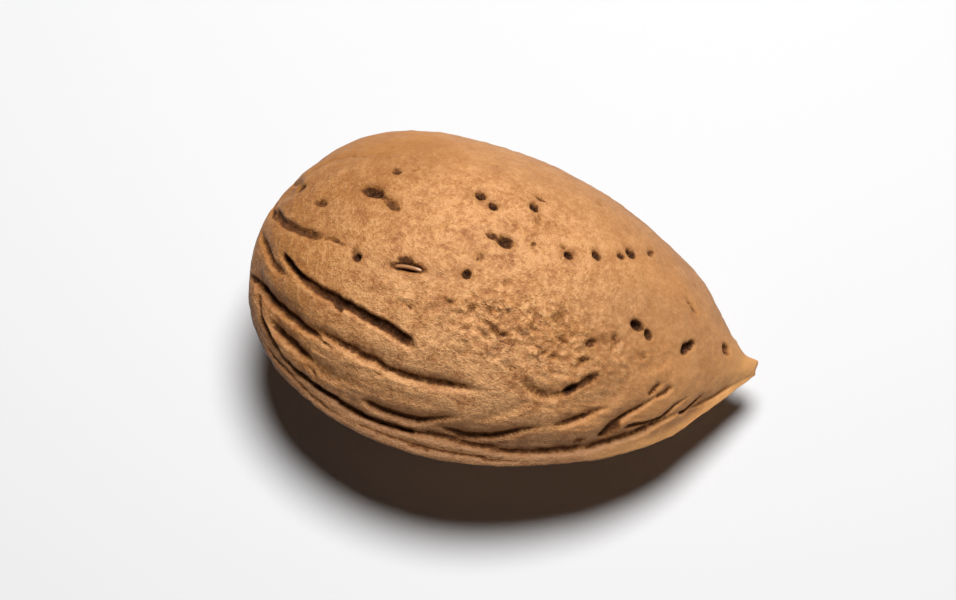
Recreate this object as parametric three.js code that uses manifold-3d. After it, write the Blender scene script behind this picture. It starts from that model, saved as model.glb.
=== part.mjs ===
// A whole almond in its shell, lying on its belly. Millimetres, +Z up, the tip towards +X
// and the keel, the seam where the shell would split, towards -Y. The origin is under the
// middle of the almond, on the surface that it lies on.
import * as THREE from "three";
import { mergeVertices } from "three/addons/utils/BufferGeometryUtils.js";
import Module from "manifold-3d";

const wasm = await Module();
wasm.setup();

// The shell's form. A station is 0 at the stem end and 1 at the tip, and each swell is the
// radius that the section would have at full girth.
const shellLength = 35;
const widthSwell = [
  [0, 13.7],
  [0.12, 14.2],
  [0.28, 13.1],
  [0.45, 11.4],
  [0.6, 10.4],
  [0.7, 9.5],
  [0.77, 8.4],
  [0.82, 6.1],
  [0.86, 4.4],
  [0.91, 3.4],
  [1, 4.4],
];
const thicknessSwell = [
  [0, 7.8],
  [0.12, 8.4],
  [0.28, 8.6],
  [0.45, 8.2],
  [0.6, 7.2],
  [0.7, 6.2],
  [0.77, 5.1],
  [0.82, 4.0],
  [0.86, 2.9],
  [0.91, 2.1],
  [1, 2.6],
];
const keelHeight = [
  [0, 0],
  [0.2, 0.2],
  [0.36, 0.95],
  [0.48, 1.4],
  [0.6, 0.95],
  [0.75, 0.6],
  [0.84, 0.75],
  [0.92, 0.35],
  [1, 0],
];
const keelSpread = 8; // degrees either side over which the keel's lip falls away
const backPinch = 0.08; // how much the section narrows to the back
const keelPinch = 0.22; // and, more, to the keel
const leanAtStem = -0.3; // sideways lean of the girth towards the keel
const leanAtTip = -2.15;
const tipDroop = 4.5; // the tip bends down towards the belly
const tipTurn = 0.45; // and a little to the back
const tipBendPower = 4;
const stemSlant = 0.08; // slope of the stem end, keel side leading
const restDepth = 0.15; // height of belly worn off to the flat spot

// Facets
const bodyRings = 38;
const bodyColumns = 56;
const keelCrowding = 0.45; // 0 spaces the columns evenly, more crowds them at the keel
const grooveColumns = 6;
const grooveStep = 1.6; // length of one ring of a groove
const fewestGrooveRings = 5;
const pitRings = 5;
const pitColumns = 7;

// Grooves, as points of (mm from the stem end, degrees around). 0 degrees is the back, 90 the
// top, 180 the keel and -90 the belly. Each has its half width and its depth.
const grooves = [
  { course: [[1, 86], [3.7, 101], [6.8, 104]], halfWidth: 0.35, depth: 0.3 },
  { course: [[3.2, 115], [5.6, 122], [8.7, 125], [12, 129], [13.6, 132]], halfWidth: 0.5, depth: 0.6 },
  { course: [[1.6, 141], [5.7, 141], [10.6, 142], [14.1, 144], [18.2, 144]], halfWidth: 0.55, depth: 0.65 },
  { course: [[3, 150], [5.3, 153], [9, 154]], halfWidth: 0.4, depth: 0.4 },
  { course: [[10.4, 162], [13.4, 164], [16.6, 160]], halfWidth: 0.4, depth: 0.35 },
  { course: [[15, 166], [18.9, 165], [21.8, 156]], halfWidth: 0.4, depth: 0.35 },
  { course: [[2, 153], [4.4, 162], [8.7, 168], [14.6, 171], [20.1, 172]], halfWidth: 0.4, depth: 0.45 },
  { course: [[18.5, 172], [26.1, 169], [29.2, 158], [31.8, 146]], halfWidth: 0.4, depth: 0.45 },
  { course: [[22.8, 156], [24.7, 150], [26.4, 143]], halfWidth: 0.35, depth: 0.3 },
  { course: [[25.8, 166], [26.9, 155], [28.6, 144], [29.9, 131]], halfWidth: 0.4, depth: 0.4 },
  { course: [[22.6, 139.5], [24.2, 135], [25.6, 130]], halfWidth: 0.4, depth: 0.45 },
  { course: [[2.6, -112], [6, -120], [10.5, -127], [15.5, -131]], halfWidth: 0.5, depth: 0.55 },
  { course: [[1.8, -136], [6, -140], [11, -143], [16, -148]], halfWidth: 0.55, depth: 0.6 },
  { course: [[3, -152], [8, -157], [13, -158]], halfWidth: 0.4, depth: 0.4 },
  { course: [[14, -162], [19, -160], [23.5, -152]], halfWidth: 0.4, depth: 0.35 },
  { course: [[2, -150], [5, -163], [11, -170], [20, -172]], halfWidth: 0.4, depth: 0.45 },
  { course: [[18, -172], [27, -168], [31, -150]], halfWidth: 0.4, depth: 0.4 },
  { course: [[20, -140], [23, -136], [25.5, -130]], halfWidth: 0.4, depth: 0.35 },
];

// Pits seen from above: centre as a groove's points, length and width, depth, and the turn of
// the length from the almond's own, in degrees towards the keel.
const topPits = [
  { at: [8, 80.5], size: [1.7, 1.0], depth: 0.55, turn: 18 },
  { at: [9.6, 85], size: [1.2, 0.8], depth: 0.3, turn: 28 },
  { at: [4.6, 86], size: [1.1, 0.8], depth: 0.35, turn: 24 },
  { at: [9, 69], size: [0.8, 0.7], depth: 0.25, turn: 10 },
  { at: [15.1, 73], size: [0.8, 0.7], depth: 0.4, turn: 0 },
  { at: [16.1, 75.5], size: [0.8, 0.7], depth: 0.4, turn: 27 },
  { at: [18.7, 69], size: [0.9, 0.8], depth: 0.45, turn: 62 },
  { at: [17.6, 88.5], size: [1.4, 1.1], depth: 0.5, turn: 0 },
  { at: [16.6, 88], size: [1.0, 0.7], depth: 0.3, turn: 0 },
  { at: [15.7, 104.5], size: [0.8, 0.8], depth: 0.45, turn: 0 },
  { at: [21.7, 84], size: [0.8, 0.8], depth: 0.4, turn: 0 },
  { at: [23.4, 79], size: [1.0, 0.7], depth: 0.4, turn: 52 },
  { at: [25.5, 67.5], size: [0.8, 0.9], depth: 0.4, turn: 0 },
  { at: [24.9, 72], size: [0.7, 0.6], depth: 0.3, turn: -40 },
  { at: [8.3, 107.5], size: [0.9, 0.8], depth: 0.45, turn: 0 },
  { at: [11.9, 107], size: [2.2, 0.8], depth: 0.5, turn: 0 },
  { at: [27.1, 101], size: [1.1, 0.9], depth: 0.5, turn: 0 },
  { at: [27.8, 103.5], size: [0.9, 0.7], depth: 0.4, turn: 52 },
  { at: [30.5, 100.5], size: [1.2, 0.8], depth: 0.4, turn: -50 },
  { at: [32.8, 80], size: [0.6, 0.6], depth: 0.25, turn: 0 },
  { at: [24.4, 116], size: [0.9, 0.7], depth: 0.35, turn: -32 },
  { at: [24.2, 123], size: [0.8, 0.7], depth: 0.3, turn: 0 },
];

// The sides that lie hidden have pits of the same kind, scattered by a fixed seed.
const hiddenPitCount = 16;
const hiddenPitSeed = 7;
const hiddenPitSpan = [5, 29]; // mm from the stem end
const hiddenPitArc = [-118, 20]; // degrees around, from the belly to the back
const hiddenPitLength = [0.7, 1.4];
const hiddenPitWidth = [0.7, 1.0];
const hiddenPitDepth = [0.3, 0.5];
const hiddenPitTurn = [-40, 40];
const hiddenPitSpacing = 2.5;
const bellyDegree = 0.2; // mm around the belly to one degree
const restSpot = { at: [15.8, -90], clearance: 6 }; // kept whole round the flat spot
const stemScar = { at: [0.2, -60], size: [1.8, 2.4], depth: 0.4, turn: 0 };

// A smooth curve through stations: cubic between each two, slopes from their neighbours.
function through(stations, at) {
  const last = stations.length - 1;
  const slope = (i) => {
    const before = stations[Math.max(i - 1, 0)];
    const after = stations[Math.min(i + 1, last)];
    return (after[1] - before[1]) / (after[0] - before[0]);
  };
  const next = stations.findIndex((station) => station[0] > at);
  const i = (next < 0 ? last : next) - 1;
  const [x0, y0] = stations[i];
  const [x1, y1] = stations[i + 1];
  const step = x1 - x0;
  const t = (at - x0) / step;
  const rise = t * t * (3 - 2 * t);
  const bend = t * (1 - t) * ((1 - t) * slope(i) - t * slope(i + 1));
  return y0 + (y1 - y0) * rise + step * bend;
}

// The point of the smooth shell at a station and an angle around, in radians from -PI to PI:
// an egg-like section whose width and thickness follow the swells, drawn out to a lip at the
// keel, with the tip bent over.
function shellPoint(station, angle) {
  const reach = (1 - Math.cos(Math.PI * station)) / 2;
  const girth = Math.sin(Math.PI * station);
  const bend = reach ** tipBendPower;
  const fromKeel = (Math.PI - Math.abs(angle)) / THREE.MathUtils.degToRad(keelSpread);
  const lip = through(keelHeight, station) * Math.exp(-fromKeel * fromKeel);
  const pinch = Math.cos(angle) > 0 ? backPinch : keelPinch;
  const lean = THREE.MathUtils.lerp(leanAtStem, leanAtTip, reach);
  const rise = Math.sin(angle) * Math.abs(Math.sin(angle)) ** pinch;
  const y = girth * (through(widthSwell, station) * Math.cos(angle) + lean) - lip + tipTurn * bend;
  const z = girth * through(thicknessSwell, station) * rise - tipDroop * bend;
  const x = shellLength * reach + stemSlant * y * (1 - reach) ** 3;
  return new THREE.Vector3(x, y, z);
}

// Where something is set into the shell: the point, and the directions along and out of it.
function seat(millimetres, degrees) {
  const station = Math.acos(1 - (2 * millimetres) / shellLength) / Math.PI;
  const angle = THREE.MathUtils.degToRad(degrees);
  const nudge = 1e-3;
  const point = shellPoint(station, angle);
  const along = shellPoint(station + nudge, angle).sub(shellPoint(station - nudge, angle)).normalize();
  const around = shellPoint(station, angle + nudge).sub(shellPoint(station, angle - nudge));
  const out = around.cross(along).normalize();
  return { point, along, out };
}

// A closed skin: rings of points from one pole to the other, facing out.
function skin(rings, columns, pointAt) {
  const points = [pointAt(0, 0)];
  for (let ring = 1; ring < rings; ring++) {
    for (let column = 0; column < columns; column++) {
      points.push(pointAt(ring / rings, column / columns));
    }
  }
  points.push(pointAt(1, 0));
  const tip = points.length - 1;
  const at = (ring, column) => {
    if (ring === 0) return 0;
    if (ring === rings) return tip;
    return 1 + (ring - 1) * columns + (column % columns);
  };
  const faces = [];
  for (let ring = 0; ring < rings; ring++) {
    for (let column = 0; column < columns; column++) {
      const here = at(ring, column);
      const beside = at(ring, column + 1);
      const ahead = at(ring + 1, column);
      const across = at(ring + 1, column + 1);
      if (ring < rings - 1) faces.push(beside, across, ahead);
      if (ring > 0) faces.push(here, beside, ahead);
    }
  }
  return new THREE.BufferGeometry().setFromPoints(points).setIndex(faces);
}

// The smooth shell, with its columns crowded towards the keel.
function shellSkin() {
  return skin(bodyRings, bodyColumns, (station, turn) => {
    const even = (2 * turn - 1) * Math.PI;
    return shellPoint(station, even + keelCrowding * Math.sin(even));
  });
}

// A groove's cutter: a spindle along its course, half sunk in the shell.
function grooveCutter({ course, halfWidth, depth }) {
  const line = new THREE.SplineCurve(course.map(([mm, degrees]) => new THREE.Vector2(mm, degrees)));
  const seatAt = (t) => seat(...line.getPoint(t).toArray());
  const span = seatAt(0).point.distanceTo(seatAt(1).point);
  const rings = Math.max(fewestGrooveRings, Math.round(span / grooveStep));
  const nudge = 0.01;
  return skin(rings, grooveColumns, (t, turn) => {
    const { point, out } = seatAt(t);
    const ahead = seatAt(Math.min(t + nudge, 1)).point.sub(seatAt(Math.max(t - nudge, 0)).point);
    const side = out.clone().cross(ahead).normalize();
    const taper = Math.sqrt(Math.sin(Math.PI * t));
    const angle = 2 * Math.PI * turn;
    point.addScaledVector(side, halfWidth * taper * Math.cos(angle));
    return point.addScaledVector(out, depth * taper * Math.sin(angle));
  });
}

// A pit's cutter: an ellipsoid centred on the shell.
function pitCutter({ at, size, depth, turn }) {
  const { point, along, out } = seat(...at);
  const ahead = along.clone().applyAxisAngle(out, -THREE.MathUtils.degToRad(turn));
  const side = out.clone().cross(ahead).normalize();
  const [length, width] = size;
  return skin(pitRings, pitColumns, (t, around) => {
    const radius = Math.sin(Math.PI * t);
    const angle = 2 * Math.PI * around;
    return point
      .clone()
      .addScaledVector(ahead, (-length / 2) * Math.cos(Math.PI * t))
      .addScaledVector(side, (width / 2) * radius * Math.cos(angle))
      .addScaledVector(out, depth * radius * Math.sin(angle));
  });
}

// The flat spot's cutter: a slab under the lowest point of the belly.
function restCutter(shell) {
  shell.computeBoundingBox();
  const { min, max } = shell.boundingBox;
  const size = max.clone().sub(min);
  const slab = new THREE.BoxGeometry(size.x, size.y, size.z);
  return slab.translate((min.x + max.x) / 2, (min.y + max.y) / 2, min.z + restDepth - size.z / 2);
}

// Even draws from 0 to 1 that are the same on each run.
function drawsFrom(seed) {
  const multiplier = 16807;
  const modulus = 2147483647;
  let state = seed;
  return () => {
    state = (state * multiplier) % modulus;
    return state / modulus;
  };
}

// Pits on the belly and the back, clear of the flat spot.
function hiddenPits() {
  const draw = drawsFrom(hiddenPitSeed);
  const between = ([low, high]) => THREE.MathUtils.lerp(low, high, draw());
  const apart = (a, b) => Math.hypot(a[0] - b[0], (a[1] - b[1]) * bellyDegree);
  const pits = [];
  while (pits.length < hiddenPitCount) {
    const at = [between(hiddenPitSpan), between(hiddenPitArc)];
    const size = [between(hiddenPitLength), between(hiddenPitWidth)];
    const pit = { at, size, depth: between(hiddenPitDepth), turn: between(hiddenPitTurn) };
    const clearOfPits = pits.every((other) => apart(other.at, at) > hiddenPitSpacing);
    if (clearOfPits && apart(restSpot.at, at) > restSpot.clearance) pits.push(pit);
  }
  return pits;
}

function solidOf(geometry) {
  const bare = new THREE.BufferGeometry();
  bare.setAttribute("position", geometry.getAttribute("position"));
  bare.setIndex(geometry.getIndex());
  const merged = mergeVertices(bare);
  const vertProperties = new Float32Array(merged.getAttribute("position").array);
  const triVerts = new Uint32Array(merged.getIndex().array);
  return new wasm.Manifold(new wasm.Mesh({ numProp: 3, vertProperties, triVerts }));
}

function geometryOf(solid) {
  const { vertProperties, triVerts } = solid.getMesh();
  const geometry = new THREE.BufferGeometry();
  geometry.setAttribute("position", new THREE.BufferAttribute(vertProperties, 3));
  geometry.setIndex(new THREE.BufferAttribute(triVerts, 1));
  return geometry;
}

// The almond: the smooth shell less its grooves, its pits and the flat spot, set down with its
// box centred over the origin.
function almondGeometry() {
  const shell = shellSkin();
  const pits = [...topPits, ...hiddenPits(), stemScar];
  const cutters = [...grooves.map(grooveCutter), ...pits.map(pitCutter), restCutter(shell)];
  const carved = cutters.reduce((body, cutter) => body.subtract(solidOf(cutter)), solidOf(shell));
  const geometry = geometryOf(carved);
  geometry.computeBoundingBox();
  const { min, max } = geometry.boundingBox;
  geometry.translate(-(min.x + max.x) / 2, -(min.y + max.y) / 2, -min.z);
  geometry.computeVertexNormals();
  return geometry;
}

const shellMaterial = new THREE.MeshStandardMaterial({ color: 0xb98550, roughness: 0.65, metalness: 0 });
const almond = new THREE.Mesh(almondGeometry(), shellMaterial);
almond.name = "almond";

const part = new THREE.Group();
part.add(almond);

export default part;
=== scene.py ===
# A whole almond in its shell, lying on its belly on a pale floor.
import math

import bpy
import numpy as np
from mathutils import Matrix, Vector


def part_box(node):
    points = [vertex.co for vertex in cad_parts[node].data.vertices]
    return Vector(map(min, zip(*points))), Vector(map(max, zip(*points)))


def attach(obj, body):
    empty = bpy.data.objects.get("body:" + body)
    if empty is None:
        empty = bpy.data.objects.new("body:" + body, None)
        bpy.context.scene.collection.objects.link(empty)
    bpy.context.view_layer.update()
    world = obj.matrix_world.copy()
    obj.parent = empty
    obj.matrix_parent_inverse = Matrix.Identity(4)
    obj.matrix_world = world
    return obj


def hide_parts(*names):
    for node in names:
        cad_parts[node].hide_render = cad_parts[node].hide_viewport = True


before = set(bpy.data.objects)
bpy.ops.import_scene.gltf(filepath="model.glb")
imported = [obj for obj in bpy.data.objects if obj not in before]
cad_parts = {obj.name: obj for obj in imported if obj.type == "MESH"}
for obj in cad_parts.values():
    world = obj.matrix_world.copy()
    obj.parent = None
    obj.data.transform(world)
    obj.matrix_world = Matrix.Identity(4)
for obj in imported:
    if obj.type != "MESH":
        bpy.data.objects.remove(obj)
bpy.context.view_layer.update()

mm = 0.001  # one millimetre in scene units

# The shell's form, as the solid has it: stations from 0 at the stem end to 1 at the tip
shellForm = {
    "length": 35.0,
    "widthSwell": [(0, 13.7), (0.12, 14.2), (0.28, 13.1), (0.45, 11.4), (0.6, 10.4), (0.7, 9.5),
                   (0.77, 8.4), (0.82, 6.1), (0.86, 4.4), (0.91, 3.4), (1, 4.4)],
    "thicknessSwell": [(0, 7.8), (0.12, 8.4), (0.28, 8.6), (0.45, 8.2), (0.6, 7.2), (0.7, 6.2),
                       (0.77, 5.1), (0.82, 4.0), (0.86, 2.9), (0.91, 2.1), (1, 2.6)],
    "keelHeight": [(0, 0), (0.2, 0.2), (0.36, 0.95), (0.48, 1.4), (0.6, 0.95), (0.75, 0.6),
                   (0.84, 0.75), (0.92, 0.35), (1, 0)],
    "keelSpread": 8.0,      # degrees either side over which the lip falls away
    "backPinch": 0.08,      # how much the section narrows to the back
    "keelPinch": 0.22,      # and to the keel
    "leanAtStem": -0.3,     # sideways lean of the girth towards the keel
    "leanAtTip": -2.15,
    "tipDroop": 4.5,
    "tipTurn": 0.45,
    "tipBendPower": 4,
    "stemSlant": 0.08,
    "restDepth": 0.15,      # height of belly worn off to the flat spot
    "rings": 340,
    "columns": 290,
    "crowding": 0.45,       # 0 spaces the columns evenly, more crowds them
    "crowdedAt": 125.0,     # degrees around at which they are closest
}

# Places on the shell are (mm from the stem end, degrees around): 0 degrees is the back, 90 the
# top, 180 the keel and -90 the belly.
# Grooves: course, half width, depth, stain and painted shade, lap (0 an open slot, 1 a fold whose
# far side rolls in, -1 a fold whose keel side does), and the share of its length over which each end
# narrows.
grooves = [
    # from the stem end over the top
    ([(0.35, 40), (0.46, 54), (0.7, 78), (1.6, 91), (2.6, 97)], 0.28, 0.22, 0.48, 0, 0.25, 0.4),
    ([(0.7, 78), (2.0, 95), (3.2, 100), (4.3, 102), (5.8, 103)], 0.33, 0.3, 0.55, -0.4, 0.1, 0.2),
    ([(5.6, 102.8), (6.2, 102.6), (6.8, 103.3), (7.5, 104.6)], 0.15, 0.14, 0.58, 0.4, 0.15, 0.4),
    ([(0.4, 98), (0.9, 109), (1.9, 117), (2.9, 121), (4.0, 123)], 0.32, 0.3, 0.45, 0.6, 0.4, 0.3),
    # the long open slot, its thin start and its side notch
    ([(3.0, 114), (4.8, 120.6), (6.3, 123.6), (8.1, 125.4), (9.6, 127), (11.4, 129.2),
      (12.5, 131.6), (13.6, 134.5)], 0.4, 0.46, 0.74, 0, 0.45, 0.14),
    ([(3.0, 114), (3.6, 116.5), (4.4, 119.3), (5.6, 122), (8.1, 124.8)],
     0.24, 0.5, 0.8, 0, 0.05, 0.5),
    ([(7.5, 127), (8.0, 127.8), (8.4, 128.4)], 0.18, 0.3, 0.7, 0, 0.3, 0.3),
    # folds between the slot and the keel
    ([(0.55, 164), (0.8, 153), (1.5, 143), (2.3, 140.6)], 0.3, 0.3, 0.45, 0, 0.4, 0.3),
    ([(1.0, 149), (1.5, 143), (2.3, 140.6), (3.8, 140), (5.5, 140.6), (6.8, 141.4), (7.5, 142)],
     0.36, 0.6, 0.66, 0.75, 0.15, 0.35),
    ([(5.8, 138), (7.7, 139.2), (10.1, 141.4), (11.9, 144), (13.5, 145), (15.7, 144.6),
      (18.3, 143.6)], 0.37, 0.48, 0.52, 0.75, 0.3, 0.15),
    ([(3.1, 151.5), (4.4, 151.8), (5.4, 152.4), (6.3, 154.2), (7.2, 155.6)],
     0.42, 0.6, 0.62, 0.8, 0.2, 0.4),
    ([(6.0, 154.6), (8.4, 154.5), (10.2, 156)], 0.5, 0.25, 0.2, 0.9, 0.3, 0.5),
    ([(10.5, 162.5), (11.8, 164), (13.3, 165), (14.6, 164), (16.2, 160), (17.3, 157)],
     0.26, 0.42, 0.62, 0.85, 0.15, 0.5),
    ([(15.6, 165.5), (16.9, 167), (18.2, 167), (19.8, 164), (21.0, 160), (22.6, 156)],
     0.26, 0.45, 0.65, 0.85, 0.3, 0.35),
    # along the keel
    ([(1.4, 152), (1.9, 156), (2.4, 160.5), (3.3, 163.2), (4.2, 165.4), (5.2, 167)],
     0.34, 0.4, 0.55, -0.7, 0.25, 0.4),
    ([(3.6, 164), (5.2, 167), (7.0, 168.5), (8.9, 169.7), (10.1, 171), (11.9, 171.7),
      (13.5, 171.4), (14.6, 171.8)], 0.23, 0.42, 0.6, -0.4, 0.3, 0.06),
    ([(13.9, 170.6), (15.4, 170.2), (17.0, 170.5), (19.3, 171.2), (20.7, 172), (22.8, 171.4),
      (24.4, 170.4), (26.1, 168.5)], 0.26, 0.36, 0.5, 0.55, 0.08, 0.15),
    ([(24.6, 171.2), (25.7, 169.6), (26.7, 167.8), (27.6, 166.3), (28.5, 163.6), (29.3, 159.5),
      (30.1, 156), (30.9, 153)], 0.3, 0.36, 0.5, 0.8, 0.18, 0.4),
    ([(31.2, 157), (32.2, 163.8), (33.1, 166), (33.8, 166.8)], 0.16, 0.14, 0.2, 0.5, 0.3, 0.3),
    ([(2.9, 170), (4.0, 172.2), (5.3, 172), (6.7, 173.6), (8.6, 175), (10.4, 175.2)],
     0.13, 0.12, 0.42, 0.3, 0.2, 0.3),
    ([(9.5, 175.1), (12.0, 175), (13.4, 174.4), (14.4, 175.4), (17.4, 174.8), (19.1, 175.5),
      (22.2, 177)], 0.13, 0.22, 0.6, 0.2, 0.2, 0.2),
    # towards the tip
    ([(22.7, 156), (23.7, 154), (24.6, 150), (25.5, 146), (26.5, 142)],
     0.3, 0.36, 0.6, 0.85, 0.4, 0.5),
    ([(26.0, 165), (26.4, 160), (26.8, 155), (27.4, 150), (28.2, 144), (29.0, 138), (29.7, 131)],
     0.26, 0.42, 0.65, 0.7, 0.05, 0.75),
    ([(27.4, 159), (28.2, 158), (28.9, 157.5), (29.7, 155), (30.1, 151), (30.5, 146), (31.2, 141)],
     0.18, 0.28, 0.55, 0.3, 0.12, 0.4),
    ([(30.7, 155), (31.1, 157.5), (31.4, 155.5), (31.8, 151), (32.1, 145.5)],
     0.18, 0.22, 0.6, 0.2, 0.2, 0.5),
    ([(28.6, 137), (28.9, 132), (29.3, 127)], 0.2, 0.2, 0.6, 0.7, 0.2, 0.25),
    ([(29.1, 138), (29.6, 134), (30.0, 129)], 0.2, 0.2, 0.55, 0.7, 0.2, 0.25),
    ([(20.7, 137), (21.5, 139.3), (22.2, 140.3), (23.4, 139.6)], 0.34, 0.28, 0.4, 0.7, 0.3, 0.1),
    # shallow ones
    ([(17.8, 160), (19.6, 152), (20.7, 147), (21.4, 144)], 0.35, 0.16, 0.15, 0.8, 0.4, 0.4),
    ([(23.2, 144.5), (25.0, 140.8), (26.4, 133.5), (27.3, 127.2)], 0.55, 0.12, 0, 0.8, 0.3, 0.3),
    ([(27.8, 123.8), (28.6, 116.7), (29.5, 108.2)], 0.5, 0.1, 0, 0.8, 0.3, 0.3),
    ([(2.0, 60), (3.6, 53), (6.1, 57), (8.7, 58), (10.1, 63)], 0.3, 0.1, 0.2, 0.5, 0.3, 0.4),
    ([(1.0, 36), (1.4, 50), (2.3, 66)], 0.3, 0.24, 0.3, 0.5, 0.3, 0.3),
    ([(29.4, 68), (30.7, 74)], 0.22, 0.12, 0.3, 0.5, 0.3, 0.3),
    # below the keel
    ([(2.6, -112), (6, -120), (10.5, -127), (15.5, -131)], 0.4, 0.6, 0.58, 0.5, 0.25, 0.3),
    ([(1.8, -136), (6, -140), (11, -143), (16, -148)], 0.4, 0.7, 0.62, 0.7, 0.15, 0.35),
    ([(3, -152), (8, -157), (13, -158)], 0.34, 0.5, 0.55, 0.7, 0.3, 0.35),
    ([(14, -162), (19, -160), (23.5, -152)], 0.32, 0.45, 0.55, 0.8, 0.3, 0.4),
    ([(2, -150), (5, -163), (11, -170), (20, -172), (27, -168), (31, -150)],
     0.3, 0.5, 0.58, 0.7, 0.15, 0.3),
    ([(20, -140), (23, -136), (25.5, -130)], 0.32, 0.42, 0.52, 0.6, 0.35, 0.4),
    ([(26, -160), (28.5, -145), (30, -132)], 0.26, 0.36, 0.55, 0.7, 0.3, 0.4),
]

# Wide flutes that gather at the stem end, with one swelling between them: course, half width, depth
flutes = [
    ([(0.3, 52), (1.2, 63), (2.4, 70), (4.2, 70)], 0.8, 0.3),
    ([(0.2, 62), (0.6, 78), (2.0, 95), (5.0, 102)], 0.9, 0.12),
    ([(0.3, 95), (0.9, 109), (2.4, 119), (5.0, 122)], 0.8, 0.1),
    ([(0.5, 128), (1.4, 142), (4.8, 140), (9.0, 143)], 0.9, 0.34),
    ([(0.3, 176), (1.2, 178), (3.4, 178), (7.0, 177)], 1.6, -0.14),
    ([(0.4, 20), (1.5, 30), (4.0, 36), (7.0, 40)], 0.9, 0.12),
    ([(0.4, -15), (1.6, -18), (4.5, -16)], 0.9, 0.24),
    ([(0.4, -55), (1.6, -60), (4.5, -64)], 0.9, 0.26),
    ([(0.4, -95), (1.5, -106), (4.0, -114)], 0.9, 0.28),
    ([(0.5, -128), (1.6, -136), (6.0, -140)], 0.9, 0.3),
]

# Pits: mm from the stem end, degrees around, length, width, turn towards the keel, depth, stain
# and painted shade
pits = [
    (7.9, 80.2, 1.5, 0.72, 18, 0.6, 0.85),
    (9.6, 85.4, 1.5, 0.75, 30, 0.22, 0.6),
    (8.9, 83.0, 0.9, 0.5, 30, 0.16, 0.45),
    (4.5, 85.6, 1.2, 0.58, 14, 0.2, 0.52),
    (9.0, 69.0, 0.8, 0.6, 10, 0.25, 0.6),
    (10.3, 67.5, 0.9, 0.7, 0, 0.08, 0.3),
    (2.3, 69.0, 0.9, 0.6, 0, 0.3, 0.7),
    (15.1, 73.0, 0.75, 0.64, 0, 0.6, 1.0),
    (16.1, 75.5, 0.7, 0.55, 27, 0.6, 1.0),
    (18.7, 69.0, 0.8, 0.62, 62, 0.6, 1.0),
    (19.2, 74.0, 0.5, 0.7, 0, 0.12, 0.4),
    (19.0, 63.0, 0.75, 0.42, 8, 0.22, 0.7),
    (17.6, 88.4, 1.1, 0.82, 0, 0.5, 0.85),
    (16.6, 88.0, 0.9, 0.5, 0, 0.28, 0.7),
    (19.3, 85.5, 0.4, 0.55, 0, 0.16, 0.55),
    (16.2, 97.0, 0.6, 0.85, 0, 0.16, 0.4),
    (15.7, 104.5, 0.58, 0.58, 0, 0.5, 0.95),
    (21.2, 81.5, 0.45, 0.4, 0, 0.15, 0.5),
    (21.7, 84.2, 0.68, 0.62, 0, 0.55, 1.0),
    (23.4, 78.8, 0.82, 0.55, 52, 0.55, 1.0),
    (25.5, 67.0, 0.75, 0.72, 0, 0.55, 1.0),
    (24.9, 72.2, 0.65, 0.48, -40, 0.32, 0.85),
    (26.65, 57.8, 0.5, 0.8, 15, 0.18, 0.5),
    (22.6, 47.0, 0.5, 0.5, 0, 0.08, 0.3),
    (15.3, 52.8, 1.1, 0.6, 0, 0.1, 0.2),
    (8.35, 107.8, 0.64, 0.6, 0, 0.5, 0.9),
    (8.1, 106.0, 0.8, 0.6, 20, 0.16, 0.42),
    (11.95, 107.4, 2.25, 0.62, -1, 0.5, 1.0),
    (11.6, 105.4, 1.1, 0.6, 4, 0.2, 0.7),
    (27.05, 101.1, 1.1, 0.75, 0, 0.6, 1.0),
    (27.8, 103.6, 0.85, 0.5, 52, 0.5, 1.0),
    (30.3, 103.4, 0.85, 0.6, -60, 0.5, 1.0),
    (30.6, 99.2, 0.85, 0.55, -55, 0.42, 0.85),
    (32.88, 78.8, 0.85, 0.8, 0, 0.3, 0.6),
    (24.4, 115.8, 1.0, 0.6, -32, 0.32, 0.58),
    (24.2, 123.2, 0.9, 0.7, 0, 0.2, 0.42),
    (25.9, 110.8, 0.7, 0.7, 0, 0.16, 0.4),
    (23.75, 136.9, 1.4, 0.62, -34, 0.45, 1.0),
    (24.7, 132.0, 1.5, 0.66, -40, 0.3, 0.6),
    (26.7, 158.5, 1.9, 1.0, -51, 0.3, 0.55),
    (24.8, 166.3, 1.0, 0.4, -10, 0.15, 0.42),
    (0.2, -60.0, 1.8, 2.4, 0, 0.4, 0.4),
]

# Short creases of the crumbly patch: course, half width, depth, stain and painted shade
creases = [
    ([(14.5, 114), (15.6, 115.5)], 0.16, 0.12, 0.35),
    ([(17.9, 122), (18.8, 121), (19.8, 120)], 0.22, 0.16, 0.35),
    ([(21.5, 113), (22.5, 106)], 0.26, 0.16, 0.35),
    ([(22.0, 117), (23.1, 118)], 0.22, 0.16, 0.35),
    ([(21.2, 124), (22.0, 124), (22.9, 125)], 0.24, 0.18, 0.35),
    ([(25.6, 118), (26.2, 108)], 0.22, 0.15, 0.35),
    ([(19.3, 133), (20.3, 132)], 0.22, 0.12, 0.4),
    ([(17.9, 104), (18.7, 102)], 0.26, 0.08, 0.25),
    ([(20.0, 99), (20.5, 100), (20.9, 103)], 0.2, 0.08, 0.3),
    ([(19.3, 108), (20.2, 106)], 0.22, 0.1, 0.3),
    ([(16.2, 115), (17.0, 115)], 0.26, 0.12, 0.35),
    ([(17.4, 114), (18.3, 114)], 0.26, 0.12, 0.35),
    ([(11.8, 118.5), (12.5, 120), (13.0, 121.5)], 0.13, 0.16, 0.35),
    ([(11.5, 121.5), (12.3, 119.6)], 0.12, 0.12, 0.35),
    ([(27.5, 118), (28.2, 112)], 0.22, 0.1, 0.3),
    ([(12.8, 90), (13.7, 88)], 0.26, 0.1, 0.3),
    ([(6.4, 141.2), (7.4, 143), (8.3, 143.8)], 0.14, 0.15, 0.35),
    ([(6.3, 158), (7.0, 160), (7.6, 163)], 0.14, 0.15, 0.35),
    ([(10.9, 147.3), (12.1, 148.2)], 0.14, 0.14, 0.35),
]
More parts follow.
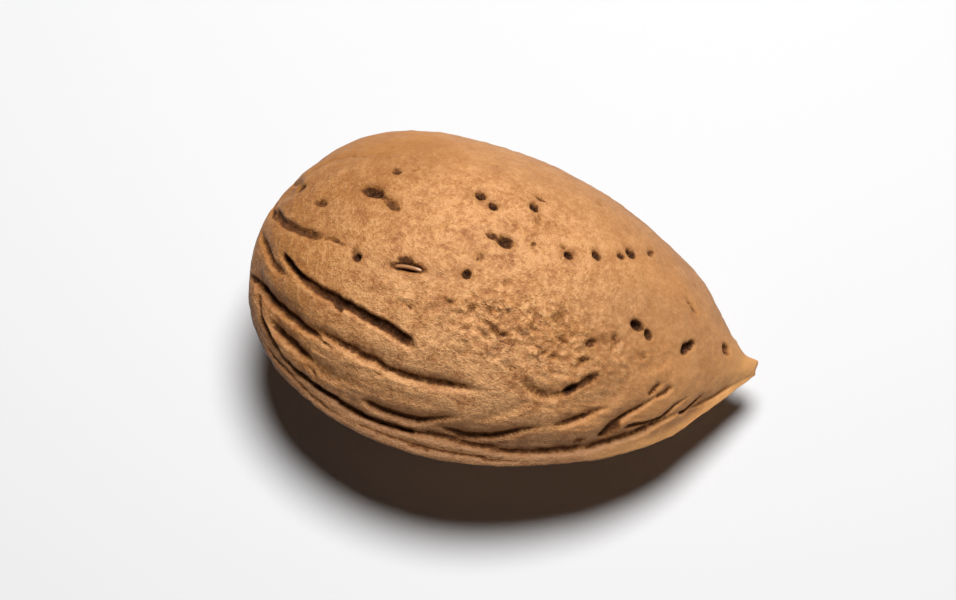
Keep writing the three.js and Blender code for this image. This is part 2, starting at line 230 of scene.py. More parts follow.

# Patches of tone, partly painted light on the folds that face the front and painted shade at the
# lower stem edge and by the tip: mm from the stem end, degrees around, reach in mm and in degrees,
# and how much paler they are, or browner if negative
tonesAndPaintedLight = [
    (17.3, 93, 2.5, 9, 0.35),
    (10.2, 112, 3.0, 9, 0.35),
    (13.5, 137, 5.0, 12, 0.8),
    (20.5, 128, 4.0, 10, 0.5),
    (17.5, 143, 4.0, 8, 0.8),
    (9.5, 150, 3.0, 8, 0.4),
    (14.0, 153, 4.0, 8, 0.5),
    (20.5, 151, 4.0, 8, 0.5),
    (8.2, 130, 3.0, 8, 0.15),
    (26.0, 100, 3.5, 18, -0.5),
    (28.5, 83, 4.0, 15, -0.4),
    (31.0, 92, 2.0, 20, -0.3),
    (26.2, 128, 2.5, 14, -0.5),
    (1.5, 160, 3.0, 25, -0.9),
    (27.0, 168, 2.5, 8, -0.8),
    (25.8, 138, 2.0, 8, -0.4),
    (26.5, 173, 2.0, 6, -0.6),
    (10.4, 62, 3.5, 12, -0.45),
    (4.8, 63, 3.0, 15, -0.4),
    (6.3, 92, 2.5, 9, -0.35),
]

# Patches of warmer colour: mm from the stem end, degrees around, reach in mm and in degrees, share
warmth = [
    (23.5, 110, 3.0, 10, 0.4),
    (24.0, 122, 2.5, 8, 0.3),
    (18.5, 117, 4.5, 11, 0.4),
    (15.0, 100, 2.5, 8, 0.3),
    (6.0, 60, 5.0, 18, 0.4),
    (7.0, 80, 3.0, 10, 0.3),
    (10.5, 55, 3.0, 12, 0.4),
]

# A glossy fibre that lies in the longest pit
sliver = {
    "course": [(10.95, 107.8), (11.6, 107.2), (12.2, 107.1), (12.85, 107.3)],
    "halfWidth": 0.15,
    "sunk": 0.2,            # depth of its middle below the skin
    "bluntness": 8,         # more keeps it thick nearer to its ends
    "rings": 40,
    "sides": 16,
}

# Horny points at the tip: mm from the stem end, degrees around, reach and height in mm
spurs = [
    (34.93, 25, 0.3, 0.26),
    (34.93, 176, 0.3, 0.2),
    (33.3, 21, 0.25, 0.1),
]

# Pits on the sides that lie hidden, scattered as on the solid
hiddenPits = {
    "count": 16,
    "seed": 7,
    "span": (5.0, 29.0),
    "arc": (-118.0, 20.0),
    "length": (0.7, 1.4),
    "width": (0.7, 1.0),
    "depth": (0.3, 0.5),
    "turn": (-40.0, 40.0),
    "stainAndShade": 0.9,
    "spacing": 2.5,
    "bellyDegree": 0.2,       # mm around the belly to one degree
    "restSpot": (15.8, -90.0),
    "restClearance": 6.0,
}

# Fine relief over the whole shell: how many lumps to a mm, their height in mm, and their seed
fineRelief = {
    "swellScale": 0.16, "swell": 0.10, "swellSeed": 11,         # broad unevenness
    "dimpleScale": 0.75, "dimple": 0.045, "dimpleSeed": 23,     # soft dimpling
    "grainScale": 2.1, "grain": 0.03, "grainSeed": 37,          # granular skin
    "crumbScale": 1.6, "crumb": 0.42, "crumbSeed": 51,          # lumps of the crumbly patch
    "crumbLevel": 0.25,              # noise that leaves the patch neither up nor down
    "crumbCentre": (19.5, 118.0), "crumbReach": (6.6, 15.5),
    "fibreScale": (0.4, 3.4), "fibre": 0.03, "fibreSeed": 71,   # fibres that run along the keel
    "fibresFrom": (115, 150),        # degrees around over which they set in
    "fibresTo": (26, 31),            # mm from the stem end over which they fade
    "wanderScale": 1.1, "wander": 0.3, "wanderSeed": 3,         # ragged edges of grooves and pits
    "hollowDepth": 0.12,             # depth at which a hollow takes its full painted shade
    "endFade": 3,                    # more keeps the relief nearer to both ends
}


def through(stations, at):
    # a cubic between each two stations, with slopes from their neighbours
    xs, ys = np.array(stations, float).T
    before = np.maximum(np.arange(len(xs)) - 1, 0)
    after = np.minimum(np.arange(len(xs)) + 1, len(xs) - 1)
    slope = (ys[after] - ys[before]) / (xs[after] - xs[before])
    i = np.clip(np.searchsorted(xs, at, side="right") - 1, 0, len(xs) - 2)
    step = xs[i + 1] - xs[i]
    t = (at - xs[i]) / step
    rise = t * t * (3 - 2 * t)
    bend = t * (1 - t) * ((1 - t) * slope[i] - t * slope[i + 1])
    return ys[i] + (ys[i + 1] - ys[i]) * rise + step * bend


def shellPoint(station, angle):
    # an egg-like section whose width and thickness follow the swells, drawn out to a lip at
    # the keel, with the tip bent over; millimetres from the stem end
    form = shellForm
    reach = (1 - np.cos(np.pi * station)) / 2
    girth = np.sin(np.pi * station)
    bend = reach ** form["tipBendPower"]
    fromKeel = (np.pi - np.abs(angle)) / np.radians(form["keelSpread"])
    lip = through(form["keelHeight"], station) * np.exp(-fromKeel * fromKeel)
    pinch = np.where(np.cos(angle) > 0, form["backPinch"], form["keelPinch"])
    lean = form["leanAtStem"] + (form["leanAtTip"] - form["leanAtStem"]) * reach
    rise = np.sin(angle) * np.abs(np.sin(angle)) ** pinch
    wide = girth * (through(form["widthSwell"], station) * np.cos(angle) + lean)
    y = wide - lip + form["tipTurn"] * bend
    z = girth * through(form["thicknessSwell"], station) * rise - form["tipDroop"] * bend
    x = form["length"] * reach + form["stemSlant"] * y * (1 - reach) ** 3
    return np.stack([x, y, z], -1)


def stationAt(millimetres):
    return np.arccos(1 - 2 * np.asarray(millimetres, float) / shellForm["length"]) / np.pi


def unit(v):
    return v / np.maximum(np.linalg.norm(v, axis=-1, keepdims=True), 1e-9)


def directions(station, angle):
    # the directions along the shell and out of it
    nudge = 1e-4
    along = shellPoint(station + nudge, angle) - shellPoint(station - nudge, angle)
    around = shellPoint(station, angle + nudge) - shellPoint(station, angle - nudge)
    return unit(along), unit(np.cross(around, along))


def softNoise(p, seed):
    # smooth noise from -1 to 1: random values at whole-number points, blended by a cubic step;
    # the large odd numbers only scramble each point's place and the seed
    cell = np.floor(p).astype(np.int64)
    t = p - cell
    t = t * t * (3 - 2 * t)
    total = np.zeros(p.shape[:-1])
    for corner in range(8):
        offset = np.array([corner & 1, corner >> 1 & 1, corner >> 2 & 1])
        c = cell + offset
        h = c[..., 0] * 73856093 ^ c[..., 1] * 19349663 ^ c[..., 2] * 83492791 ^ seed * 40503
        h = (h & 0xFFFFFFFF) * 1274126177 & 0xFFFFFFFF
        h = (h ^ h >> 15) * 1911520717 & 0xFFFFFFFF
        value = (h >> 8 & 0xFFFF) / 32767.5 - 1
        total += value * np.prod(np.where(offset == 1, t, 1 - t), axis=-1)
    return total


def layeredNoise(p, seed):
    # soft noise with a layer about twice as fine and half as strong laid over it
    return softNoise(p, seed) + 0.5 * softNoise(2.03 * p, seed + 17)


def ease(low, high, value):
    t = np.clip((value - low) / (high - low), 0, 1)
    return t * t * (3 - 2 * t)


courseSteps = 8  # points of a line to each point of its course


def alongCourse(course, steps):
    # millimetres from the stem end and degrees around, with steps counted in the course's points
    knots = np.arange(len(course))
    rows = (np.stack([knots, row], -1) for row in np.array(course, float).T)
    millimetres, degrees = (through(row, steps) for row in rows)
    return millimetres, degrees


def courseLine(course):
    # points of the smooth shell along a course, and their degrees around
    steps = np.linspace(0, len(course) - 1, courseSteps * len(course))
    millimetres, degrees = alongCourse(course, steps)
    return shellPoint(stationAt(millimetres), np.radians(degrees)), degrees


def nearCourse(skin, line, reach):
    # the points within reach of a line, how far each is from it, and how far along it that is
    box = (skin["at"] > line.min(0) - reach) & (skin["at"] < line.max(0) + reach)
    near = box.all(-1).nonzero()[0]
    start = line[:-1]
    step = line[1:] - start
    offset = skin["at"][near][:, None, :] - start
    t = np.clip((offset * step).sum(-1) / (step * step).sum(-1), 0, 1)
    gap = np.linalg.norm(offset - t[..., None] * step, axis=-1)
    nearest = gap.argmin(1)
    rows = np.arange(len(near))
    return near, gap[rows, nearest], (nearest + t[rows, nearest]) / len(step)


def deepen(values, near, to):
    values[near] = np.maximum(values[near], to)


grooveProfile = {
    "reach": 5,                         # half widths over which a groove is felt
    "endWidth": 0.4,                    # share of the width that is left at an end
    "lapShift": 0.7,                    # half widths by which a full fold moves to its lip
    "slotPower": 8,                     # more makes a slot's walls steeper
    "lipReach": 0.75, "lipPower": 3,    # the steep side of a fold
    "rollReach": 2, "rollPower": 1.6,   # and its gentle side
    "stainAndShadeFrom": (0.4, 1),              # shares of the depth over which the colours set in
    "rustFrom": (0.05, 0.7),
}


def carveGroove(skin, course, halfWidth, depth, dark, lap, head, foot):
    # between an open slot, with both its walls steep, and a fold, which rolls in gently from
    # the far side and ends at a steep lip on the side of the keel, or the other way about
    shape = grooveProfile
    line, degrees = courseLine(course)
    near, gap, along = nearCourse(skin, line, shape["reach"] * halfWidth)
    lineDegrees = np.interp(along, np.linspace(0, 1, len(degrees)), np.abs(degrees))
    taper = np.sqrt(ease(0, head, along) * ease(0, foot, 1 - along))
    wide = halfWidth * (shape["endWidth"] + (1 - shape["endWidth"]) * taper)
    across = np.where(np.abs(skin["degrees"][near]) > lineDegrees, gap, -gap) / wide
    across = (across + skin["wander"][near]) * math.copysign(1, lap)
    lap = abs(lap)
    across -= shape["lapShift"] * lap
    away = np.abs(across)
    slot = np.exp(-away ** shape["slotPower"])
    steep = np.exp(-(away / shape["lipReach"]) ** shape["lipPower"])
    gentle = np.exp(-(away / shape["rollReach"]) ** shape["rollPower"])
    fold = np.where(across > 0, steep, gentle)
    profile = slot + (fold - slot) * lap
    deepen(skin["sink"], near, depth * taper * profile)
    deepen(skin["stainAndShade"], near, dark * taper * ease(*shape["stainAndShadeFrom"], profile))
    deepen(skin["rust"], near, dark * taper * ease(*shape["rustFrom"], profile))


fluteProfile = {
    "reach": 3,          # half widths over which a flute is felt
    "fullBy": 0.35,      # share of its length by which it is deepest
    "fadesFrom": 0.4,    # and from which it fades
}


def carveFlute(skin, course, halfWidth, depth):
    # a wide valley, deepest near the stem end
    shape = fluteProfile
    line = courseLine(course)[0]
    near, gap, along = nearCourse(skin, line, shape["reach"] * halfWidth)
    fade = ease(0, shape["fullBy"], along) * (1 - ease(shape["fadesFrom"], 1, along))
    skin["valley"][near] += depth * fade * np.exp(-(gap / halfWidth) ** 2)


pitProfile = {
    "reach": 2,             # pit lengths over which it is felt
    "ragged": 0.8,          # how far its rim wanders
    "wall": (0.4, 1.35),    # radii between which its wall falls
    "haloShare": 0.8,       # rusty ring around it
    "haloReach": 1.5,
}


def carvePit(skin, millimetres, degrees, length, width, turn, depth, dark):
    # a bowl with a steep wall and a ragged oval rim, stained and darkened with painted shade to two
    # thirds of its radius and less and less to four thirds
    shape = pitProfile
    station, angle = stationAt(millimetres), np.radians(degrees)
    along, out = directions(station, angle)
    lean = math.radians(turn)
    ahead = along * math.cos(lean) - np.cross(out, along) * math.sin(lean)
    side = np.cross(out, ahead)
    offset = skin["at"] - shellPoint(station, angle)
    near = (np.abs(offset).max(-1) < shape["reach"] * max(length, width)).nonzero()[0]
    a = offset[near] @ ahead / (length / 2)
    b = offset[near] @ side / (width / 2)
    radius = np.sqrt(a * a + b * b) * (1 + shape["ragged"] * skin["wander"][near])
    deepen(skin["sink"], near, depth * (1 - ease(*shape["wall"], radius)))
    deepen(skin["stainAndShade"], near, dark * np.clip(2 - 1.5 * radius, 0, 1))
    halo = np.exp(-(radius / shape["haloReach"]) ** 2)
    deepen(skin["rust"], near, shape["haloShare"] * dark * halo)


def layFibre():
    # a round rod along its course, drawn in to a point at both ends
    course = sliver["course"]
    last = len(course) - 1
    steps = np.linspace(0, last, sliver["rings"] + 2)[1:-1]
    millimetres, degrees = alongCourse(course, steps)
    station, angle = stationAt(millimetres), np.radians(degrees)
    along, out = directions(station, angle)
    middle = shellPoint(station, angle) - sliver["sunk"] * out
    girth = sliver["halfWidth"] * (1 - np.abs(2 * steps / last - 1) ** sliver["bluntness"]) ** 0.5
    turn = np.linspace(0, 2 * np.pi, sliver["sides"], endpoint=False)
    side = np.cross(out, along)
    spoke = side[:, None] * np.cos(turn)[:, None] + out[:, None] * np.sin(turn)[:, None]
    rod = middle[:, None] + girth[:, None, None] * spoke
    return np.concatenate([middle[:1], rod.reshape(-1, 3), middle[-1:]])


def scatteredPits():
    # the solid's own draws: pits apart from each other and from the flat spot
    rule = hiddenPits
    multiplier, modulus = 16807, 2147483647
    state = rule["seed"]

    def between(limits):
        nonlocal state
        state = state * multiplier % modulus
        return limits[0] + (limits[1] - limits[0]) * state / modulus

    def apart(a, b):
        return math.hypot(a[0] - b[0], (a[1] - b[1]) * rule["bellyDegree"])

    found = []
    while len(found) < rule["count"]:
        at = (between(rule["span"]), between(rule["arc"]))
        length, width = between(rule["length"]), between(rule["width"])
        depth, turn = between(rule["depth"]), between(rule["turn"])
        clear = all(apart(other, at) > rule["spacing"] for other in found)
        if clear and apart(rule["restSpot"], at) > rule["restClearance"]:
            dark = rule["stainAndShade"] * depth / rule["depth"][1]
            found.append((*at, length, width, turn, depth, dark))
    return found


def shellGrid():
    # stations and angles of rings along the shell and columns around it, closest together on
    # the side with the finest grooves
    form = shellForm
    station = np.linspace(0, 1, form["rings"] + 1)[1:-1]
    even = np.linspace(-np.pi, np.pi, form["columns"], endpoint=False)
    angle = even - form["crowding"] * np.sin(even - np.radians(form["crowdedAt"]))
    angle = (angle + np.pi) % (2 * np.pi) - np.pi
    stations, angles = np.meshgrid(station, angle, indexing="ij")
    return stations.ravel(), angles.ravel()


creaseFold = {"lap": 0.5, "head": 0.4, "foot": 0.4}


def carvedSkin(smooth, degrees):
    # how far each point is pressed in, its stain and painted shade, and its rust
    skin = {name: np.zeros(len(smooth)) for name in ("sink", "stainAndShade", "rust", "valley")}
    skin["at"] = smooth
    skin["degrees"] = degrees
    fine = fineRelief
    skin["wander"] = fine["wander"] * layeredNoise(smooth * fine["wanderScale"], fine["wanderSeed"])
    for flute in flutes:
        carveFlute(skin, *flute)
    for groove in grooves:
        carveGroove(skin, *groove)
    for crease in creases:
        carveGroove(skin, *crease, **creaseFold)
    for pit in pits + scatteredPits():
        carvePit(skin, *pit)
    return skin


def bell(distance, degrees, at, turn, reach, spread):
    # 1 at a place and less and less around it
    return np.exp(-((distance - at) / reach) ** 2 - ((degrees - turn) / spread) ** 2)


def patchSum(patches, distance, degrees):
    return sum(patch[-1] * bell(distance, degrees, *patch[:-1]) for patch in patches)


def lumps(smooth, distance, degrees, crumb):
    # soft dimples, a granular skin, the lumps of the crumbly patch and the fibres of the keel,
    # each of them noise at its own scale
    fine = fineRelief
    arc = degrees * hiddenPits["bellyDegree"]
    lengthwise = np.stack([distance * fine["fibreScale"][0], arc * fine["fibreScale"][1], 0 * arc], -1)
    keelward = ease(*fine["fibresFrom"], np.abs(degrees)) * (1 - ease(*fine["fibresTo"], distance))
    lump = np.abs(layeredNoise(smooth * fine["crumbScale"], fine["crumbSeed"])) - fine["crumbLevel"]
    total = fine["dimple"] * layeredNoise(smooth * fine["dimpleScale"], fine["dimpleSeed"])
    total += fine["grain"] * softNoise(smooth * fine["grainScale"], fine["grainSeed"])
    total += fine["crumb"] * crumb * lump
    total += fine["fibre"] * keelward * layeredNoise(lengthwise, fine["fibreSeed"])
    return total


# Where the colours and the grain change: degrees around or mm from the stem end, from and to
shellMarks = {
    "leastRough": 0.32,                               # grain of the smoothest parts
    "roughFrom": (45, 80), "roughTo": (20, 29),       # degrees, mm: full grain on top
    "hiddenRough": 0.65, "hiddenTo": (10, 40),        # degrees: grain of the belly
    "backShadeShare": 0.6, "backTo": (45, 85),             # degrees: back browner and darker, as painted shade
    "tipward": (8, 16),                               # mm: the back's amber turns to shade
    "stemTo": (1, 17),                                # mm: amber of the stem end
    "underFrom": (152, 174), "underTo": (23, 31),     # degrees, mm: greyer, darker keel rim, its grey tone and painted shade
    "lipFrom": (166, 177), "tipFrom": (32, 34.5),     # degrees, mm: paler lip and tip, with painted light on the shaded lip
}


def colourMarks(skin, distance, degrees, crumb, relief):
    # shares from 0 to 1 that the material mixes its colours by
    mark = shellMarks
    fromBack = np.abs(degrees)
    full = ease(*mark["roughFrom"], degrees) * (1 - ease(*mark["roughTo"], distance))
    seen = mark["leastRough"] + (1 - mark["leastRough"]) * full
    hidden = mark["hiddenRough"] * (1 - ease(*mark["hiddenTo"], degrees))
    # painted shade: the back, which faces the light, darkened, amber near the stem and shade towards
    # the tip
    back = mark["backShadeShare"] * (1 - ease(*mark["backTo"], fromBack))
    tipward = ease(*mark["tipward"], distance)
    stemward = np.maximum(1 - ease(*mark["stemTo"], distance), back * (1 - tipward))
    toneAndLight = patchSum(tonesAndPaintedLight, distance, degrees)
    warm = patchSum(warmth, distance, degrees)
    keelLip = ease(*mark["lipFrom"], fromBack) * ease(*mark["underTo"], distance)
    return {
        "stainAndShade": skin["stainAndShade"],
        "rust": skin["rust"],
        # painted shade in the low spots of the fine relief
        "hollowShade": np.clip(-relief / fineRelief["hollowDepth"], 0, 1),
        "crumb": crumb,
        "rough": np.maximum(seen, hidden),
        "stemward": np.clip(stemward + warm, 0, 1),
        # paler patches: their own tone and painted light on the folds that face the front
        "fairAndPaintedLight": np.clip(toneAndLight, 0, 1),
        # browner patches and the back: their own tone and painted shade
        "duskAndPaintedShade": np.maximum(np.clip(-toneAndLight, 0, 1), back * tipward),
        # the keel rim greyer and darker: its grey tone and painted shade
        "under": ease(*mark["underFrom"], fromBack) * (1 - ease(*mark["underTo"], distance)),
        # paler lip and tip: the tip's own paler tone and painted light on the shaded lip
        "lip": np.maximum(keelLip, ease(*mark["tipFrom"], distance)),
    }


def almondSurface():
    # the smooth shell on a grid of rings and columns, pressed in along its normals by the
    # grooves and pits and roughened by noise, with its belly flat where it rests
    form, fine = shellForm, fineRelief
    stations, angles = shellGrid()
    smooth = shellPoint(stations, angles)
    out = directions(stations, angles)[1]
    distance = form["length"] * (1 - np.cos(np.pi * stations)) / 2
    degrees = np.degrees(angles)

    skin = carvedSkin(smooth, degrees)
    crumb = bell(distance, degrees, *fine["crumbCentre"], *fine["crumbReach"])
    relief = lumps(smooth, distance, degrees, crumb)
    swell = fine["swell"] * layeredNoise(smooth * fine["swellScale"], fine["swellSeed"])
    ends = np.minimum(1, np.sin(np.pi * stations) * fine["endFade"])
    raised = (swell + relief) * ends - skin["sink"] - skin["valley"]
    for at, turn, reach, height in spurs:
        gap = np.linalg.norm(smooth - shellPoint(stationAt(at), np.radians(turn)), axis=-1)
        raised += height * np.exp(-gap / reach)
    shaped = smooth + out * raised[:, None]

    columns = form["columns"]
    stemPole, tipPole = shaped[:columns].mean(0), shaped[-columns:].mean(0)
    fibre = layFibre()
    points = np.concatenate([[stemPole], shaped, [tipPole], fibre])
    low, high = smooth.min(0), smooth.max(0)
    boxLow, boxHigh = (np.array(corner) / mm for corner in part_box("almond"))
    shift = (boxLow + boxHigh) / 2 - (low + high) / 2
    shift[2] = boxLow[2] - low[2] - form["restDepth"]
    points += shift
    points[:, 2] = np.maximum(points[:, 2], boxLow[2])

    none = np.zeros(len(fibre) + 1)
    marks = colourMarks(skin, distance, degrees, crumb, relief)
    marks = {name: np.concatenate([[0.0], mark, none]) for name, mark in marks.items()}
    marks["gloss"] = np.concatenate([np.zeros(len(shaped) + 2), np.ones(len(fibre))])
    return points, marks


def gridFaces(rings, columns, first=0):
    # quads between neighbouring rings and a fan of triangles at each pole
    ring = first + 1 + np.arange(rings - 2)[:, None] * columns
    here = np.arange(columns)
    beside = (here + 1) % columns
    corners = (ring + here, ring + beside, ring + columns + beside, ring + columns + here)
    quads = np.stack(np.broadcast_arrays(*corners), -1).reshape(-1, 4)
    last = first + 1 + (rings - 2) * columns
    tip = last + columns
    stemFan = np.stack([np.full(columns, first), first + 1 + beside, first + 1 + here], -1)
    tipFan = np.stack([np.full(columns, tip), last + here, last + beside], -1)
    return stemFan.tolist() + quads.tolist() + tipFan.tolist()


def makeAlmond():
    points, marks = almondSurface()
    mesh = bpy.data.meshes.new("almondShell")
    faces = gridFaces(shellForm["rings"], shellForm["columns"])
    fibreStart = (shellForm["rings"] - 1) * shellForm["columns"] + 2
    faces += gridFaces(sliver["rings"] + 1, sliver["sides"], fibreStart)
    mesh.from_pydata(points * mm, [], faces)
    for name, mark in marks.items():
        attribute = mesh.attributes.new(name, "FLOAT", "POINT")
        attribute.data.foreach_set("value", mark.astype(np.float32))
    mesh.polygons.foreach_set("use_smooth", np.ones(len(mesh.polygons), bool))
    mesh.update()
    almond = bpy.data.objects.new("almondShell", mesh)
    bpy.context.collection.objects.link(almond)
    return almond


shellFinish = {
    "tan": (0.421, 0.196, 0.0676),
    "ochre": (0.353, 0.144, 0.0421),
    "amber": (0.268, 0.105, 0.021),
    "pale": (0.495, 0.249, 0.1),
    "crevice": (0.218, 0.0743, 0.0178),
    "rust": (0.15, 0.057, 0.016),
    "grey": (0.17, 0.082, 0.038),
    "lip": (0.5, 0.25, 0.0853),
    "brown": (0.1, 0.038, 0.014),
    # near black: painted shade in the deep grooves and pits
    "dark": (0.029, 0.0113, 0.00484),
    "net": (0.13, 0.055, 0.022),
    "fibre": (0.27, 0.12, 0.047),
    "shade": (0.28, 0.13, 0.05),
    # pale specks: pale grains and painted glints
    "speckAndGlint": (0.69, 0.39, 0.17),
    # noises: lumps to a metre, layers of detail, roughness
    "patchNoise": (330, 3, 0.55),
    "grainNoise": (850, 4, 0.85),
    "breakNoise": (900, 2, 0.55),
    "seamNoise": (1150, 3, 0.65),
    "skinNoise": (1700, 3, 0.5),
    "raggedNoise": (2700, 3, 0.65),
    "granuleNoise": (3300, 2, 0.6),
    "speckleNoise": (8000, 2, 0.6),
    # levels of a noise, of the crumb or of the stain and painted shade, from and to, and the share at
    # each
    "ochrePatches": (0.4, 0.66, 0, 0.6),
    "paleGrain": (0.5, 0.68, 0, 1),
    "paleGranules": (0.52, 0.66, 0, 0.6),
    "paleSpeckle": (0.57, 0.72, 0, 0.6),
    "crumbSpecks": (0.5, 0.66, 0, 0.45),
    "darkGranules": (0.47, 0.34, 0, 0.45),
    "darkGrain": (0.5, 0.32, 0, 1),
    "seamWidth": (0, 0.07, 1, 0),
    "seamBreaks": (0.46, 0.62, 0, 1),
    "seamReach": (0, 0.8, 0, 1),
    "frayNoise": (0.3, 0.7, -1, 1),
    "frayOnCrumb": (0, 1, 0.2, 0.3),
    "brownEdge": (0.22, 0.5, 0, 1),
    "darkEdge": (0.52, 0.82, 0, 1),
    "netSpeckle": (0.52, 0.7, 0, 1),
    # most that each mark takes
    "stemAmber": 0.9,
    "stemPaleness": 0.4,    # share of the pale grains that is left at the stem
    "hollowShadeShare": 0.5,
    "underGreyAndShade": 0.7,
    "lipPaleAndLightShare": 0.6,
    "rustShare": 0.6,
    "seamRust": 0.75,
    # shine of the skin, of its stains and painted shade, and of the fibre
    "roughness": 0.6,
    "fibreRoughness": 0.22,
    "stainAndShadeSpecular": (0, 0.35, 0.25, 0.03),
    "fibreSpecular": 0.4,
    # heights in metres
    "skinBump": 0.00008,
    "granuleBump": 0.0001,
    "fineBump": 0.00008,
    "clumpBump": 0.00005,
}


def shellMaterial():
    finish = shellFinish
    material = bpy.data.materials.new("almondShellFinish")
    material.use_nodes = True
    nodes, links = material.node_tree.nodes, material.node_tree.links
    shader = nodes["Principled BSDF"]
    place = nodes.new("ShaderNodeTexCoord")

    def noise(scale, detail, rough):
        node = nodes.new("ShaderNodeTexNoise")
        node.inputs["Scale"].default_value = scale
        node.inputs["Detail"].default_value = detail
        node.inputs["Roughness"].default_value = rough
        links.new(place.outputs["Object"], node.inputs["Vector"])
        return node.outputs["Fac"]

    def attribute(name):
        node = nodes.new("ShaderNodeAttribute")
        node.attribute_name = name
        return node.outputs["Fac"]

    def ramp(value, low, high, start, end):
        node = nodes.new("ShaderNodeMapRange")
        node.inputs["From Min"].default_value = low
        node.inputs["From Max"].default_value = high
        node.inputs["To Min"].default_value = start
        node.inputs["To Max"].default_value = end
        links.new(value, node.inputs["Value"])
        return node.outputs["Result"]

    def share(name, most):
        return ramp(attribute(name), 0, 1, 0, most)

    def calculate(operation, a, b):
        node = nodes.new("ShaderNodeMath")
        node.operation = operation
        for socket, value in zip(node.inputs, (a, b)):
            if isinstance(value, (int, float)):
                socket.default_value = value
            else:
                links.new(value, socket)
        return node.outputs["Value"]

    def times(a, b):
        return calculate("MULTIPLY", a, b)

    def mix(factor, a, b):
        node = nodes.new("ShaderNodeMix")
        node.data_type = "RGBA"
        links.new(factor, node.inputs["Factor"])
        ends = [socket for socket in node.inputs if socket.type == "RGBA"]
        for socket, colour in zip(ends, (a, b)):
            if isinstance(colour, tuple):
                socket.default_value = (*colour, 1)
            else:
                links.new(colour, socket)
        return next(socket for socket in node.outputs if socket.type == "RGBA")

    def bump(height, distance, strength, under=None):
        node = nodes.new("ShaderNodeBump")
        links.new(strength, node.inputs["Strength"])
        node.inputs["Distance"].default_value = distance
        links.new(height, node.inputs["Height"])
        if under:
            links.new(under, node.inputs["Normal"])
        return node.outputs["Normal"]

    rough = attribute("rough")
    crumb = attribute("crumb")
    patches = noise(*finish["patchNoise"])
    grain = noise(*finish["grainNoise"])
    skin = noise(*finish["skinNoise"])
    ragged = noise(*finish["raggedNoise"])
    granules = noise(*finish["granuleNoise"])
    speckle = noise(*finish["speckleNoise"])

    # broken wavy seams, where a noise crosses its middle value
    fromMiddle = calculate("SUBTRACT", noise(*finish["seamNoise"]), 0.5)
    seam = ramp(calculate("ABSOLUTE", fromMiddle, 0), *finish["seamWidth"])
    broken = ramp(noise(*finish["breakNoise"]), *finish["seamBreaks"])
    clumps = times(seam, times(broken, ramp(crumb, *finish["seamReach"])))

    # tan with ochre patches, browner to the stem, with paler grains and specks, partly painted glints,
    # and darker grains between
    colour = mix(ramp(patches, *finish["ochrePatches"]), finish["tan"], finish["ochre"])
    # amber of the stem end, and painted shade on the back near it
    colour = mix(share("stemward", finish["stemAmber"]), colour, finish["amber"])
    # paler patches: their own tone and painted light on the folds that face the front
    colour = mix(attribute("fairAndPaintedLight"), colour, finish["pale"])
    # browner patches and the back: their own tone and painted shade
    colour = mix(attribute("duskAndPaintedShade"), colour, finish["shade"])
    paleness = times(rough, ramp(attribute("stemward"), 0, 1, 1, finish["stemPaleness"]))
    colour = mix(times(ramp(grain, *finish["paleGrain"]), paleness), colour, finish["pale"])
    colour = mix(times(ramp(granules, *finish["paleGranules"]), paleness), colour, finish["pale"])
    # pale specks on the grain: painted glints
    colour = mix(times(ramp(speckle, *finish["paleSpeckle"]), paleness), colour, finish["speckAndGlint"])
    # pale granules of the crumbly patch, with painted glints
    colour = mix(times(ramp(granules, *finish["crumbSpecks"]), crumb), colour, finish["speckAndGlint"])
    colour = mix(times(ramp(granules, *finish["darkGranules"]), rough), colour, finish["crevice"])
    colour = mix(times(ramp(grain, *finish["darkGrain"]), rough), colour, finish["crevice"])
    # painted shade: the low spots of the fine relief darkened towards crevice brown
    colour = mix(share("hollowShade", finish["hollowShadeShare"]), colour, finish["crevice"])
    # the keel rim greyer and darker: its grey tone and painted shade
    colour = mix(share("under", finish["underGreyAndShade"]), colour, finish["grey"])
    # paler lip and tip: the tip's own paler tone and painted light on the shaded lip
    colour = mix(share("lip", finish["lipPaleAndLightShare"]), colour, finish["lip"])
    colour = mix(share("rust", finish["rustShare"]), colour, finish["rust"])
    colour = mix(ramp(clumps, 0, 1, 0, finish["seamRust"]), colour, finish["rust"])

    # brown stain with a ragged edge, more so on the crumbly patch, turning near black where it is
    # strong as painted shade in the deep grooves and pits, with a net of lighter brown in it
    stainAndShade = attribute("stainAndShade")
    frayed = times(ramp(ragged, *finish["frayNoise"]), ramp(crumb, *finish["frayOnCrumb"]))
    edge = calculate("ADD", stainAndShade, frayed)
    colour = mix(ramp(edge, *finish["brownEdge"]), colour, finish["brown"])
    within = mix(ramp(speckle, *finish["netSpeckle"]), finish["dark"], finish["net"])
    colour = mix(ramp(edge, *finish["darkEdge"]), colour, within)
    gloss = attribute("gloss")
    colour = mix(gloss, colour, finish["fibre"])
    links.new(colour, shader.inputs["Base Color"])

    dullness = ramp(gloss, 0, 1, finish["roughness"], finish["fibreRoughness"])
    links.new(dullness, shader.inputs["Roughness"])
    shine = ramp(stainAndShade, *finish["stainAndShadeSpecular"])
    shine = calculate("ADD", shine, share("gloss", finish["fibreSpecular"]))
    links.new(shine, shader.inputs["Specular IOR Level"])
    relief = bump(skin, finish["skinBump"], rough)
    relief = bump(granules, finish["granuleBump"], rough, relief)
    relief = bump(speckle, finish["fineBump"], rough, relief)
    relief = bump(ramp(clumps, 0, 1, 1, 0), finish["clumpBump"], crumb, relief)
    links.new(relief, shader.inputs["Normal"])
    return material


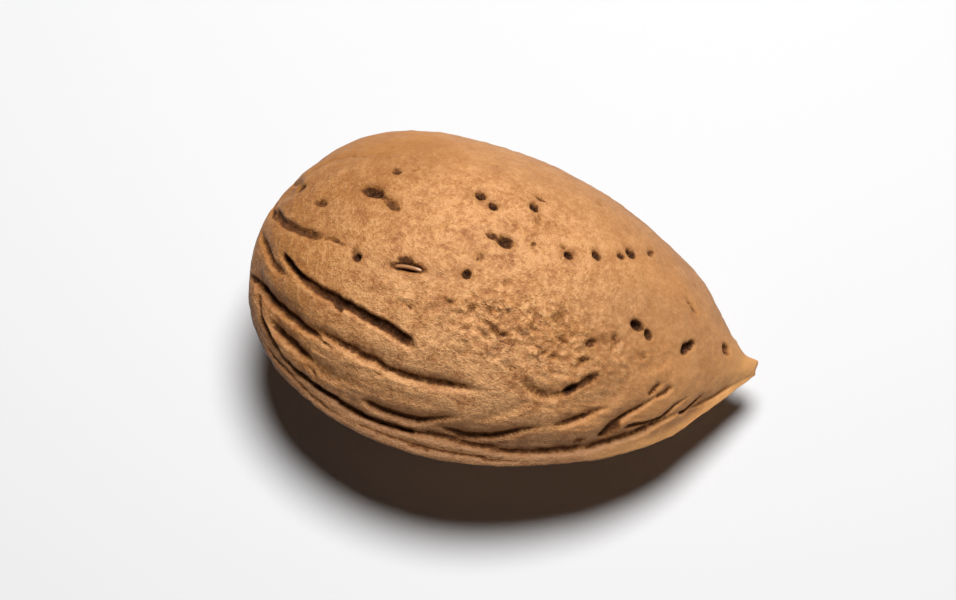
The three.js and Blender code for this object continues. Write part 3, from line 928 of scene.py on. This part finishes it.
studio = {
    "floorHalf": 0.6,               # metres, as are the places and sizes of the lights
    "floorColour": (0.5, 0.5, 0.504),
    "floorRoughness": 0.8,
    "floorSpecular": 0.1,
    "lightAt": (0.003, 0.064, 0.25),
    "lightSize": (0.128, 0.128),
    "lightPower": 1.33,
    "cardAt": (0.13, -0.36, 0.035),
    "cardSize": (0.3, 0.05),
    "cardPower": 0.30,
    "fill": 0.008,
    "azimuth": 13.4,                # degrees
    "elevation": 60.0,
    "distance": 181.65,             # millimetres, as is the aim
    "aim": (-1.80, 0.744, 7.21),
    "lens": 100.0,
    "sensorWidth": 36.0,
    "clipStart": 0.001,             # metres
}


def makeFloor():
    half = studio["floorHalf"]
    corners = [(-half, -half, 0), (half, -half, 0), (half, half, 0), (-half, half, 0)]
    mesh = bpy.data.meshes.new("floor")
    mesh.from_pydata(corners, [], [(0, 1, 2, 3)])
    floor = bpy.data.objects.new("floor", mesh)
    bpy.context.collection.objects.link(floor)
    material = bpy.data.materials.new("floorFinish")
    material.use_nodes = True
    shader = material.node_tree.nodes["Principled BSDF"]
    shader.inputs["Base Color"].default_value = (*studio["floorColour"], 1)
    shader.inputs["Roughness"].default_value = studio["floorRoughness"]
    shader.inputs["Specular IOR Level"].default_value = studio["floorSpecular"]
    mesh.materials.append(material)


def makeLight(name, shape, at, size, power):
    data = bpy.data.lights.new(name, "AREA")
    data.shape = shape
    data.size, data.size_y = size
    data.energy = power
    light = bpy.data.objects.new(name, data)
    light.location = at
    light.rotation_euler = Vector(at).to_track_quat("Z", "Y").to_euler()
    bpy.context.collection.objects.link(light)


def makeWorld():
    world = bpy.data.worlds.new("studioFill")
    world.use_nodes = True
    background = world.node_tree.nodes["Background"]
    background.inputs["Color"].default_value = (1, 1, 1, 1)
    background.inputs["Strength"].default_value = studio["fill"]
    bpy.context.scene.world = world


def makeCamera():
    azimuth, elevation = math.radians(studio["azimuth"]), math.radians(studio["elevation"])
    level = math.cos(elevation)
    back = Vector((math.sin(azimuth) * level, -math.cos(azimuth) * level, math.sin(elevation)))
    right = Vector((math.cos(azimuth), math.sin(azimuth), 0))
    data = bpy.data.cameras.new("photoCamera")
    data.lens = studio["lens"]
    data.sensor_width = studio["sensorWidth"]
    data.clip_start = studio["clipStart"]
    camera = bpy.data.objects.new("photoCamera", data)
    turn = Matrix((right, back.cross(right), back)).transposed().to_4x4()
    place = (Vector(studio["aim"]) + back * studio["distance"]) * mm
    camera.matrix_world = Matrix.Translation(place) @ turn
    bpy.context.collection.objects.link(camera)
    bpy.context.scene.camera = camera


almond = makeAlmond()
almond.data.materials.append(shellMaterial())
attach(almond, "root")
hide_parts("almond")
print("almond:", len(almond.data.polygons), "faces")

makeFloor()
makeLight("overheadSoftbox", "DISK", studio["lightAt"], studio["lightSize"], studio["lightPower"])
makeLight("frontCard", "RECTANGLE", studio["cardAt"], studio["cardSize"], studio["cardPower"])
makeWorld()
makeCamera()
bpy.context.scene.view_settings.view_transform = "Standard"
print("studio: floor, light and camera set")
